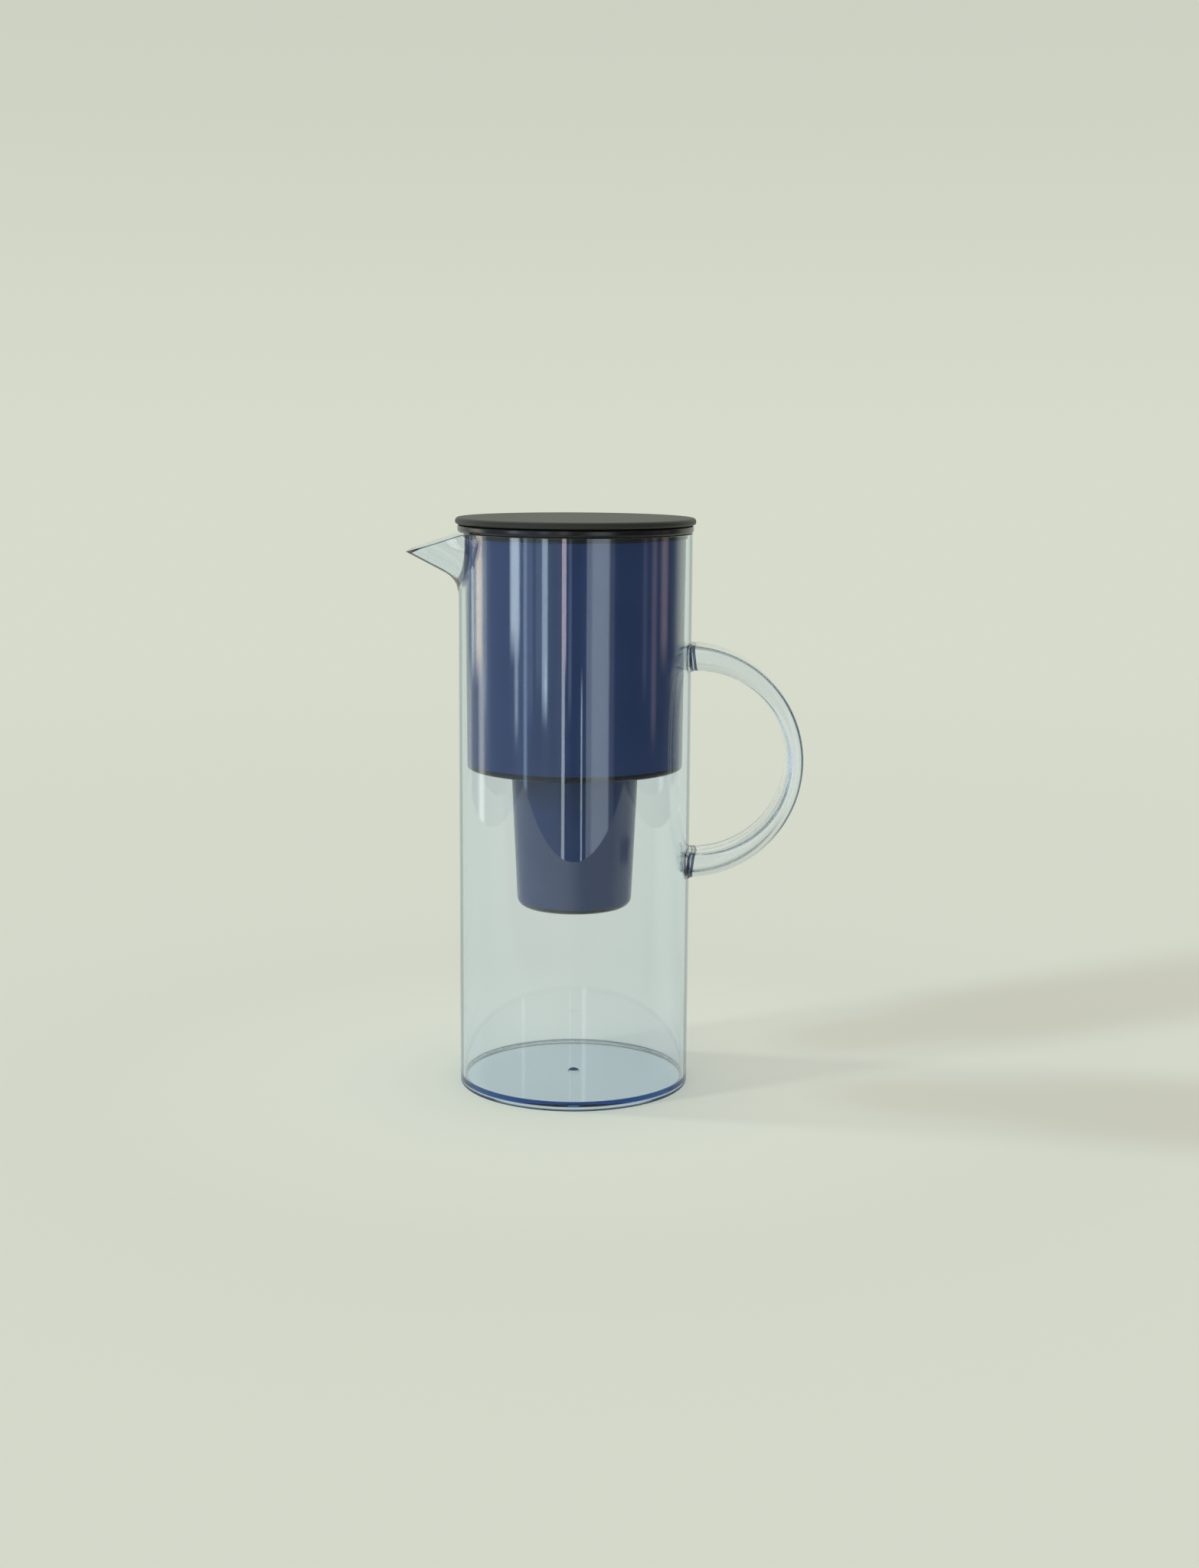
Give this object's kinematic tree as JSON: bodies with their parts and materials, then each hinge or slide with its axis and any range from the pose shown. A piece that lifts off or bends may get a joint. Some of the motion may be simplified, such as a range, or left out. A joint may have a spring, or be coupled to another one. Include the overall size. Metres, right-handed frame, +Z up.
{
  "type": "water filter jug",
  "caption": "Tall clear cylindrical water filter jug with a wide spout, half-ring handle, dark lift-out funnel holding a filter cartridge, and a flat round lid.",
  "frame": {"origin": "on the jug's axis at the table, the middle of the foot ring", "axes": "+Z up along the jug's axis, -X towards the spout, +X towards the handle"},
  "size_m": [0.2142, 0.1288, 0.31],
  "materials": {
    "clear_plastic": "clear with a faint blue tint, polished",
    "funnel_plastic": "dark slate, smooth",
    "lid_plastic": "dark grey, fine matt",
    "seal_rubber": "soft black",
    "cartridge_plastic": "white, satin",
    "screen_mesh": "fine woven",
    "filter_granules": "granular"
  },
  "bodies": {
    "jug": {"jug_body": "clear_plastic", "handle": "clear_plastic"},
    "funnel": {"funnel": "funnel_plastic", "funnel_seal": "seal_rubber"},
    "lid": {"lid_cap": "lid_plastic", "lid_plug": "lid_plastic", "lid_seal": "seal_rubber"},
    "cartridge": {"cartridge_shell": "cartridge_plastic", "cartridge_cap": "cartridge_plastic", "inlet_screen": "screen_mesh", "outlet_screen": "screen_mesh", "filter_media": "filter_granules", "cartridge_seal": "seal_rubber"},
    "pull_ring": {"pull_ring": "cartridge_plastic"}
  },
  "joints": [
    {"name": "funnel_lift", "type": "slide", "parent": "jug", "child": "funnel", "axis": [0, 0, 1], "range_m": [0, 0.21]},
    {"name": "lid_lift", "type": "slide", "parent": "funnel", "child": "lid", "axis": [0, 0, 1], "range_m": [0, 0.1]},
    {"name": "cartridge_lift", "type": "slide", "parent": "funnel", "child": "cartridge", "axis": [0, 0, 1], "range_m": [0, 0.076]},
    {"name": "pull_ring_hinge", "type": "hinge", "parent": "cartridge", "child": "pull_ring", "pos_m": [0.013, 0, 0.1938], "axis": [0, 1, 0], "range_deg": [0, 90]}
  ]
}
